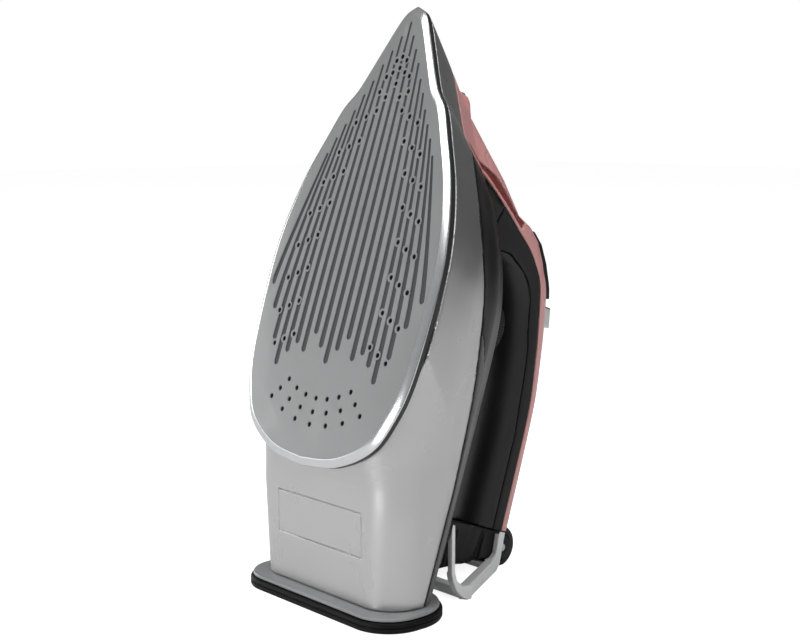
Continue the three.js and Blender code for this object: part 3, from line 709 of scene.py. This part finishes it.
# ---- lower housing and side trims ----
BOSSES_AT, BOSS_DEPTH = (-36, 36), 17.6


def shell(outside=0, inside=WALL):
    return cut(outer_form(outside), outer_form(inside))


def engraved_frame(half, low, high, line, depth):
    """A shallow rectangular line on the flat heel face, round the blank label field."""
    def plate(grow):
        right, bottom, top = half + grow, low - grow, high + grow
        at = np.array([(-right, bottom), (right, bottom), (right, top), (-right, top)])
        rings = [(at, HEEL_FACE - 1), (at, HEEL_FACE + depth)]
        return loft(rings, lambda u, v, y: standing(u, y, v))
    return cut(plate(line / 2), plate(-line / 2))


def on_screw_line(x, radius, low, high, sides=64):
    """A post or bore on a heel screw's line, between two heights over the ground."""
    ends = standing(x, BOSS_DEPTH, low), standing(x, BOSS_DEPTH, high)
    return turned([(radius, 0), (radius, high - low)], *ends, sides)


def lower_housing():
    form = common(shell(), under(SKIRT_LINE))
    bosses = [on_screw_line(x, 4.5, HEEL_BOTTOM, 22) for x in BOSSES_AT]
    bores = [on_screw_line(x, 1.7, 0, 19) for x in BOSSES_AT]
    form = moulded(cut(join(form, *bosses), *bores), 0.75)
    label = engraved_frame(31.4, 30.4, 51.2, 0.4, 0.5)
    piece("lower_shell", engraved(form, label), "iron_body", "silver_plastic", ["silver"], "lower_housing")


lower_housing()


def side_trims():
    for side, name in SIDES:
        band = common(under(TRIM_LINE), behind(TRIM_START - 1))
        form = common(shell(-TRIM_PROUD), cut(band, under(SKIRT_LINE, GAP)), one_side(side))
        trim = moulded(form, 0.55, 3)
        piece(f"trim_{name}", trim, "iron_body", "grey_plastic", ["trim"], f"side_trim_{name}")


side_trims()

# ---- upper body, handle frame and grip ----
DIAL_AT = 88
HANDLE_END = -10
DRUM_X, DRUM_HEIGHT, DRUM_S, DRUM_RADIUS, DRUM_ROOM = 12, 133.2, -18.4, 11, 0.6


def on_drum_axis(radius, start, end, sides=64):
    return cylinder(radius, (start, DRUM_HEIGHT, DRUM_S), (end, DRUM_HEIGHT, DRUM_S), sides)


def drum_room():
    return on_drum_axis(DRUM_RADIUS + DRUM_ROOM, -DRUM_X - DRUM_ROOM, DRUM_X + DRUM_ROOM)


def upper_body():
    below = join(under(SKIRT_LINE, GAP), common(under(TRIM_LINE, GAP), behind(TRIM_START - 1 + GAP)))
    form = common(shell(), under(COVER_LINE), behind(167.3))
    form = cut(form, below, above(DECK + 0.1), block((22, 20, 16), (0, DECK, -25)),
               cylinder(3.4, (0, 60, DIAL_AT), (0, 80, DIAL_AT)))
    piece("upper_shell", moulded(form, 0.7), "iron_body", "black_plastic", ["black"], "body_shell")


upper_body()


def handle_span():
    return side_cut([(HANDLE_END, 60), (HANDLE_END, FAR), (2 * FAR, FAR), (2 * FAR, 60)])


def handle_pieces():
    for side, name in SIDES:
        form = common(shell(), above(DECK + GAP), handle_span(), under(COVER_LINE))
        form = common(cut(form, drum_room(), under(GRIP_LINE, GAP)), one_side(side))
        frame_half = moulded(form, 0.5, 3)
        piece(f"frame_{name}", frame_half, "iron_body", "black_plastic", ["frame"], f"handle_frame_{name}")
    form = cut(common(shell(), above(DECK + GAP), handle_span(), under(GRIP_LINE)), drum_room())
    piece("grip", moulded(form, 0.6, 5), "iron_body", "soft_grip", ["grip"], "handle_grip")


handle_pieces()

# ---- rose top cover, filler lid and tank windows ----
LID_SIDE = [
    (161.3, 55.2), (159, 62.5), (153, 73), (148, 80.8), (146.8, 83), (146.8, 112), (175, 110), (185.2, 69.4),
    (167.5, 52.8),
]
WINDOW_SIDE = [
    (167, 33.2), *map(tuple, offset([(167, 27.2), (162, 41), (156, 55), (147, 71), (138, 86)], 2.1)[1:]),
    (143.4, 88.8), (146.4, 82.4), (147.6, 80.2), (152.6, 72.4), (158.6, 62), (162.9, 48.4), (168.4, 33.2),
]
HOOD_SIDE = [(196, 32), (194.1, 43), (192.1, 45.2), (187.5, 47.3), (182, 50), (182, 36)]
NOZZLE_HEIGHT = 41.6
BUTTON_FRONT, BUTTON_REAR, BUTTON_HALF, BUTTON_AT = 142.8, 112.5, 12, 131
BUTTON_MIDDLE = (BUTTON_FRONT + BUTTON_REAR) / 2
BUTTON_LENGTH = BUTTON_FRONT - BUTTON_REAR
SLIDER_AT = 104


def seam_line(half, rear, front, depth):
    """A narrow groove round the button field, cut into the cover's skin."""
    middle, length = (rear + front) / 2, front - rear
    outer = block((2 * half, 80, length), (0, 120, middle))
    inner = block((2 * half - 1, 90, length - 1), (0, 120, middle))
    return common(cut(outer, inner), cut(handle_form(-2), handle_form(depth)))


def top_cover():
    hood = cut(prism(HOOD_SIDE, -4.8, 4.8, across_sole), outer_form(WALL))
    form = cut(join(shell(), hood), under(COVER_LINE, GAP), under(GRIP_LINE, GAP))
    span = side_cut([(HANDLE_END, 0), (HANDLE_END, FAR), (2 * FAR, FAR), (2 * FAR, 0)])
    form = cut(
        common(form, span), grown(LID_SIDE, GAP), grown(WINDOW_SIDE, GAP),
        cylinder(2.9, (0, NOZZLE_HEIGHT, 178), (0, NOZZLE_HEIGHT, 205)),
        block((2 * BUTTON_HALF + 0.8, 60, BUTTON_LENGTH + 0.8), (0, 125, BUTTON_MIDDLE)),
        block((4.6, 30, 17), (0, 128, SLIDER_AT - 4.9)),
        drum_room(),
    )
    form = moulded(form, 0.45, 2)
    form = engraved(form, seam_line(14.6, 92, 146, 0.5))
    piece("cover", form, "iron_body", "rose_plastic", ["rose"], "top_cover")


top_cover()


def lid_and_windows():
    form = common(shell(), side_cut(LID_SIDE))
    piece("lid", moulded(form, 0.45, 3), "lid", "rose_plastic", ["rose"], "filler_lid")
    # The tank windows' dark red colour also paints the shadow of the recess between the lid and the cover's
    # flange.
    for side, name in SIDES:
        form = common(cut(outer_form(1.5), outer_form(3.2)), side_cut(WINDOW_SIDE), one_side(side))
        window = moulded(form, 0.4, 2)
        piece(f"window_{name}", window, "iron_body", "red_window", ["window"], f"tank_window_{name}")
    nozzle = turned([(2.6, 0), (2.6, 13.3), (2.3, 13.8), (1.5, 13.9), (0.8, 13.2), (0.8, 6)],
                    (0, NOZZLE_HEIGHT, 182), (0, NOZZLE_HEIGHT, 196), 48)
    piece("nozzle", nozzle, "iron_body", "black_plastic", ["frame"], "spray_nozzle", smooth=False)


lid_and_windows()

# ---- buttons, slider and dial ----
PUMP_X, PUMP_TOP = 7.4, 94
STEM_RADIUS = 1.7


def buttons():
    for name, side in (("spray", 1), ("steam", -1)):
        x = side * PUMP_X
        middle = side * (BUTTON_HALF / 2 + 0.25)
        cap = common(cut(handle_form(-2.3), handle_form(2.6)),
                     block((BUTTON_HALF - 0.5, 43, BUTTON_LENGTH), (middle, 122, BUTTON_MIDDLE)))
        stem = cylinder(STEM_RADIUS, (x, PUMP_TOP - 1.7, BUTTON_AT), (x, 118, BUTTON_AT), 32)
        stem = common(stem, handle_form(2.4))
        form = moulded(join(cap, stem), 0.4, 3)
        dimples = [cylinder(0.55, (middle, 100, s), (middle, 150, s), 20) for s in (124, 127, 130)]
        skin = cut(handle_form(-4), handle_form(-2))
        marks = common(join(*dimples), skin)
        key = engraved(form, marks)
        piece(f"{name}_key", key, f"{name}_control", "black_plastic", ["black"], f"{name}_button")


buttons()


def slider():
    def span(length, half):
        return block((2 * half, 40, length), (0, 134, SLIDER_AT))

    base = common(cut(handle_form(-2), handle_form(-0.5)), span(12, 8.5))
    base = join(base, block((3.4, 14, 6), (0, 122.5, SLIDER_AT)))
    piece("slide_plate", moulded(base, 0.35, 2), "steam_slider", "black_plastic", ["frame"], "slider_base")
    knob = common(cut(handle_form(-7.6), handle_form(-2.3)), span(10.5, 6.5))
    knob = moulded(knob, 0.3, 4)
    ridges = [block((14, 1.2, 0.7), (0, 137.5, SLIDER_AT + s)) for s in (-3, -1.5, 0, 1.5, 3)]
    piece("slide_knob", engraved(knob, *ridges), "steam_slider", "knob_metal", ["chrome"], "slider_knob")


slider()


def dial():
    collar = turned([(9, 0), (9, 0.6), (8.8, 1), (8, 15.6), (7.6, 16.4), (3.2, 16.4), (3.2, 0.2)],
                    (0, DECK + GAP, DIAL_AT), (0, 87.2, DIAL_AT), 72)
    piece("dial_neck", collar, "iron_body", "black_plastic", ["black"], "dial_collar", smooth=False)

    def knurl(angle):
        return -0.28 * (0.5 - 0.5 * np.cos(angle * 72)) ** 2

    profile = [
        (16.9, 0), (17.4, 0.4), (17.4, 4.4), (17.1, 5.7), (16.5, 6.5), (15.8, 6.7), (13.6, 6.7),
        (13.1, 6.3), (4, 6.2),
    ]
    wheel = turned(profile, (0, 87.7, DIAL_AT), (0, 94.4, DIAL_AT), 672, knurl)
    bore = cylinder(2.8, (0, 80, DIAL_AT), (0, 93.3, DIAL_AT), 48)
    ticks = []
    for i in range(-4, 5):
        turn = math.radians(30 * i)
        x, s = 14.7 * math.sin(turn), 14.7 * math.cos(turn)
        ticks.append(turned([(0.42, 0), (0.42, 1)], (x, 94.2, DIAL_AT + s), (x, 95.2, DIAL_AT + s), 16))
    wheel = cut(wheel, bore, *ticks)
    piece("dial_wheel", wheel, "dial", "dial_plastic", ["frame"], "temperature_dial", smooth=False)


dial()


# ---- rear housing, cord swivel and stand ----
HOUSING_SIDE = [(HANDLE_END - 0.4, 71), (HANDLE_END - 0.4, 130), (-23, 130), (-42.9, 71)]
HOUSING_HALF = 14.4
PIN_RADIUS = 2


def pin_way():
    return on_drum_axis(PIN_RADIUS + GAP, -30, 30, 32)


def grip_tail():
    """The grip's round end, which runs on under the cord swivel."""
    turn = np.arange(64) / 64 * 2 * math.pi
    x, y = soften(np.cos(turn), 0.8), soften(np.sin(turn), 0.8)
    rings = []
    stations = [
        (-36, 9, 3.5), (-35, 11.5, 5.5), (-33, 13.2, 7), (-29, 14.1, 8),
        (-20, HOUSING_HALF, 8.5), (-10.4, HOUSING_HALF, 8.8),
    ]  # place along the sole, half width, half height
    for s, half, tall in stations:
        rings.append((np.column_stack([half * x, 113.4 + 0.18 * (s + 10) + tall * y]), s))
    return loft(rings, along_sole)


def rear_of_handle():
    def pillar(half):
        return prism(HOUSING_SIDE, -half, half, across_sole)

    space = prism([(-12.9, 65), (-12.9, 112), (-20, 112), (-37, 65)], -9.5, 9.5, across_sole)
    below_cheeks = side_cut([(10, 60), (10, 118), (-60, 118), (-60, 60)])
    tail = common(grip_tail(), pillar(HOUSING_HALF))
    form = join(cut(pillar(HOUSING_HALF), below_cheeks), pillar(12.2), tail)
    form = cut(form, space, block((16, 6, 10), (0, 115, -10)), drum_room())
    cheeks = [on_drum_axis(6, x, x + 1.8, 48) for x in (-HOUSING_HALF, DRUM_X + DRUM_ROOM)]
    form = moulded(cut(join(form, *cheeks), pin_way()), 0.5, 3)
    ribs = [block((0.9, 0.8, 24), (side * 12.2, h, -26)) for side in (1, -1) for h in np.arange(75, 101, 2.3)]
    form = engraved(form, *ribs)
    piece("housing", form, "iron_body", "black_plastic", ["frame"], "rear_housing", smooth=False)

    edge = [(6.2, 0), (6.6, 0.5), (7.4, 0.5), (7.8, 0), (10.2, 0), (10.8, 0.3), (DRUM_RADIUS, 0.9)]
    groove = [(DRUM_RADIUS, 2.2), (DRUM_RADIUS - 0.5, 2.4), (DRUM_RADIUS - 0.5, 3.0), (DRUM_RADIUS, 3.2)]
    half_profile = [*edge, *groove]
    profile = [*half_profile, *[(radius, 2 * DRUM_X - x) for radius, x in half_profile[::-1]]]
    drum = turned(profile, (-DRUM_X, DRUM_HEIGHT, DRUM_S), (DRUM_X, DRUM_HEIGHT, DRUM_S), 96)
    cord_way = cylinder(3.4, (0, DRUM_HEIGHT, DRUM_S), (0, DRUM_HEIGHT + 7, DRUM_S - 12), 48)
    piece("swivel_drum", cut(drum, pin_way(), cord_way), "cord_swivel", "black_plastic", ["black"],
          "cord_swivel", smooth=False)


rear_of_handle()


def stand_bar(outline, low, high):
    return prism(outline, low, high, across_ground)


def heel_stand():
    parts = []
    for side in (1, -1):
        a, b = np.array([side * 16.1, 110.9]), np.array([side * 38.9, 68.9])
        way = (b - a) / np.linalg.norm(b - a)
        square = 2.4 * np.array([-way[1], way[0]])
        parts.append(prism([a + square, a - square, b - square, b + square], 0, 6.8, over_ground))
        arm = [
            (118.6, 20.4), (114.2, 21), (112, 9.5), (109.5, 7), (106.5, 7), (106.5, 0), (112, 0),
            (114.6, 3.6),
        ]
        corner = [
            (59.6, 15), (60.4, 11), (62.8, 6), (66.3, 2), (70, 0), (73, 0), (73, 7), (67, 7.6),
            (63.2, 11), (62, 15),
        ]
        upright = [(59.7, 13.7), (61.9, 13.7), (61.9, 44), (59.7, 44)]
        parts.append(stand_bar(arm, side * 14.9, side * 18.3))
        parts.append(stand_bar(corner, side * 36.8, side * 41))
        parts.append(stand_bar(upright, side * 37.4, side * 40.9))
    parts.append(stand_bar([(66.5, 1), (71.5, 1), (71.5, 6), (66.5, 6)], -38, 38))
    parts.append(stand_bar([(108.4, 0.4), (111.6, 0.4), (111.6, 4), (108.4, 4)], -16, 16))
    form = join(*parts)
    clear = join(outer_form(-1.1), prism(HOUSING_SIDE, -14.6, 14.6, across_sole))
    handle_end = side_cut([(HANDLE_END - 0.4, 0), (HANDLE_END - 0.4, FAR), (FAR, FAR), (FAR, 0)])
    form = moulded(cut(form, clear, handle_end, drum_room()), 0.38, 4)
    piece("stand", form, "iron_body", "silver_plastic", ["strap"], "heel_stand")


heel_stand()


# ---- the heel's rubber foot and ledge plate ----
SCREW_WAY = 1.9
FOOT = {"half": 57.5, "near": FOOT_NEAR, "far": 52.8, "near_radius": 20, "far_radius": 26}


def heel_plan(inset):
    half, near, far = FOOT["half"] - inset, FOOT["near"] + inset, FOOT["far"] - inset
    front, back = FOOT["near_radius"] - inset, FOOT["far_radius"] - inset
    arcs = [
        (half - front, near + front, front, -90), (half - back, far - back, back, 0),
        (back - half, far - back, back, 90), (front - half, near + front, front, 180),
    ]
    rows = []
    for x, y, radius, start in arcs:
        turn = np.radians(np.linspace(start, start + 90, 25))
        rows.append(np.column_stack([x + radius * np.cos(turn), y + radius * np.sin(turn)]))
    return np.concatenate(rows)


def heel_slab(levels):
    return loft([(heel_plan(inset), z) for inset, z in levels], over_ground)


def heel():
    foot = heel_slab([(1.0, 0), (0.35, 0.3), (0, 0.9), (0, 3.9), (0.3, 4.6), (0.9, 5)])
    recess = heel_slab([(6.2, -1), (6, 0.4), (6, 2.8), (6.4, 3)])
    band = cut(heel_slab([(-2, 2.5), (-2, 3.1)]), heel_slab([(0.45, 2), (0.45, 3.5)]))
    foot = cut(foot, recess, band, *[on_screw_line(x, SCREW_WAY, -1, 10, 40) for x in BOSSES_AT])
    piece("foot_rim", foot, "iron_body", "foot_rubber", ["rubber"], "heel_foot", smooth=False)
    ledge = heel_slab([(1.9, 5.3), (1.5, 5.5), (1.4, 5.8), (1.4, 6.4), (1.7, 6.85), (2.2, 7.0)])
    ledge = cut(ledge, *[on_screw_line(x, SCREW_WAY, 0, 10, 40) for x in BOSSES_AT])
    piece("ledge", ledge, "iron_body", "grey_plastic", ["ledge"], "heel_plate", smooth=False)


heel()

# ---- finishes of the CAD nodes that stay ----
KEPT = {
    "heater_casting": "cast", "chamber_cover": "steel", "valve_seat": "brass", "casting_screw_front": "steel",
    "casting_screw_left": "steel", "casting_screw_right": "steel", "heating_element": "steel",
    "thermostat": "ceramic", "thermal_fuse": "steel", "heat_shield": "steel", "terminal_block": "ceramic",
    "live_wire": "wire", "neutral_wire": "wire", "water_tank": "tank", "spray_piston": "white",
    "spray_pump": "white", "steam_piston": "white", "steam_pump": "white", "pump_carrier": "frame",
    "suction_hose": "tank", "spray_hose": "tank", "valve_rod": "brass", "dial_shaft": "steel",
    "swivel_pin": "steel", "heel_screw_left": "steel", "heel_screw_right": "steel",
}
for node, look in KEPT.items():
    mesh = frame["nodes"][node].data
    if not mesh.materials:
        mesh.materials.append(LOOK[look])
    for index in range(len(mesh.materials)):
        mesh.materials[index] = LOOK[look]

for leftover in list(workshop.objects):
    discard(leftover)
bpy.data.collections.remove(workshop)


# ---- floor, light ----
def seen_and_bounced(tree, seen, bounced):
    """One shader for what the camera sees of the surroundings, another for the light that they throw back."""
    path = tree.nodes.new("ShaderNodeLightPath")
    mix = tree.nodes.new("ShaderNodeMixShader")
    tree.links.new(path.outputs["Is Camera Ray"], mix.inputs[0])
    tree.links.new(bounced, mix.inputs[1])
    tree.links.new(seen, mix.inputs[2])
    return mix.outputs[0]


def plain_floor():
    made = bpy.data.materials.new("floor_paint")
    made.use_nodes = True
    tree = made.node_tree
    tree.nodes.clear()
    pale, dim = (tree.nodes.new("ShaderNodeBsdfDiffuse") for _ in range(2))
    glow = tree.nodes.new("ShaderNodeEmission")
    pale.inputs["Color"].default_value = (0.6, 0.6, 0.6, 1)
    dim.inputs["Color"].default_value = (0.85, 0.85, 0.85, 1)
    glow.inputs["Strength"].default_value = 0.86
    both = tree.nodes.new("ShaderNodeAddShader")
    tree.links.new(pale.outputs[0], both.inputs[0])
    tree.links.new(glow.outputs[0], both.inputs[1])
    output = tree.nodes.new("ShaderNodeOutputMaterial")
    tree.links.new(seen_and_bounced(tree, both.outputs[0], dim.outputs[0]), output.inputs["Surface"])
    mesh = bpy.data.meshes.new("floor")
    half = 6
    corners = [(-half, -half, 0), (half, -half, 0), (half, half, 0), (-half, half, 0)]
    mesh.from_pydata(corners, [], [(0, 1, 2, 3)])
    floor = bpy.data.objects.new("floor", mesh)
    mesh.materials.append(made)
    scene.collection.objects.link(floor)


BRIGHT_SIDE = (-0.62, -0.76, 0.2)
ROOM = (0.035, 0.34)


def studio_world():
    """White behind the object, and a soft room that is light in front and dark on the right and behind."""
    world = bpy.data.worlds.new("studio")
    world.use_nodes = True
    tree = world.node_tree
    tree.nodes.clear()
    seen, bounced = tree.nodes.new("ShaderNodeBackground"), tree.nodes.new("ShaderNodeBackground")
    place = tree.nodes.new("ShaderNodeTexCoord")
    toward = tree.nodes.new("ShaderNodeVectorMath")
    toward.operation = "DOT_PRODUCT"
    toward.inputs[1].default_value = BRIGHT_SIDE
    tree.links.new(place.outputs["Generated"], toward.inputs[0])
    ramp = tree.nodes.new("ShaderNodeValToRGB")
    for element, (at, shade) in zip(ramp.color_ramp.elements, ((0.1, ROOM[0]), (0.95, ROOM[1]))):
        element.position = at
        element.color = (shade, shade, shade, 1)
    half = tree.nodes.new("ShaderNodeMapRange")
    half.inputs["From Min"].default_value = -1
    tree.links.new(toward.outputs["Value"], half.inputs["Value"])
    tree.links.new(half.outputs["Result"], ramp.inputs["Fac"])
    tree.links.new(ramp.outputs["Color"], bounced.inputs["Color"])
    output = tree.nodes.new("ShaderNodeOutputWorld")
    tree.links.new(seen_and_bounced(tree, seen.outputs[0], bounced.outputs[0]), output.inputs["Surface"])
    seen.inputs["Color"].default_value = (1, 1, 1, 1)
    scene.world = world


def area_light(name, place, target_height, size, watts):
    light = bpy.data.lights.new(name, "AREA")
    light.shape = "RECTANGLE"
    light.size, light.size_y = size
    light.energy = watts
    lamp = bpy.data.objects.new(name, light)
    lamp.location = place
    aim = Vector((0, 0, target_height)) - Vector(place)
    lamp.rotation_euler = aim.to_track_quat("-Z", "Y").to_euler()
    scene.collection.objects.link(lamp)


plain_floor()
studio_world()
LIGHTS = [
    ("heel_band", (-0.1, -1.5, 0.12), 0.1, (0.32, 0.22), 5),
    ("nose_band", (0.0, -0.95, 1.6), 0.2, (0.9, 1.1), 15),
    ("heel_face", (-1.35, -1.15, 0.15), 0.1, (0.7, 0.6), 3),
    ("left", (-1.5, -0.25, 0.25), 0.13, (0.8, 0.5), 5),
    ("top", (0.2, 0.5, 1.9), 0.15, (1.0, 1.0), 9),
    ("right", (1.5, -0.2, 1.2), 0.15, (1.1, 1.1), 11),
]  # name, place, height that it points at, width and height, watts
for light in LIGHTS:
    area_light(*light)
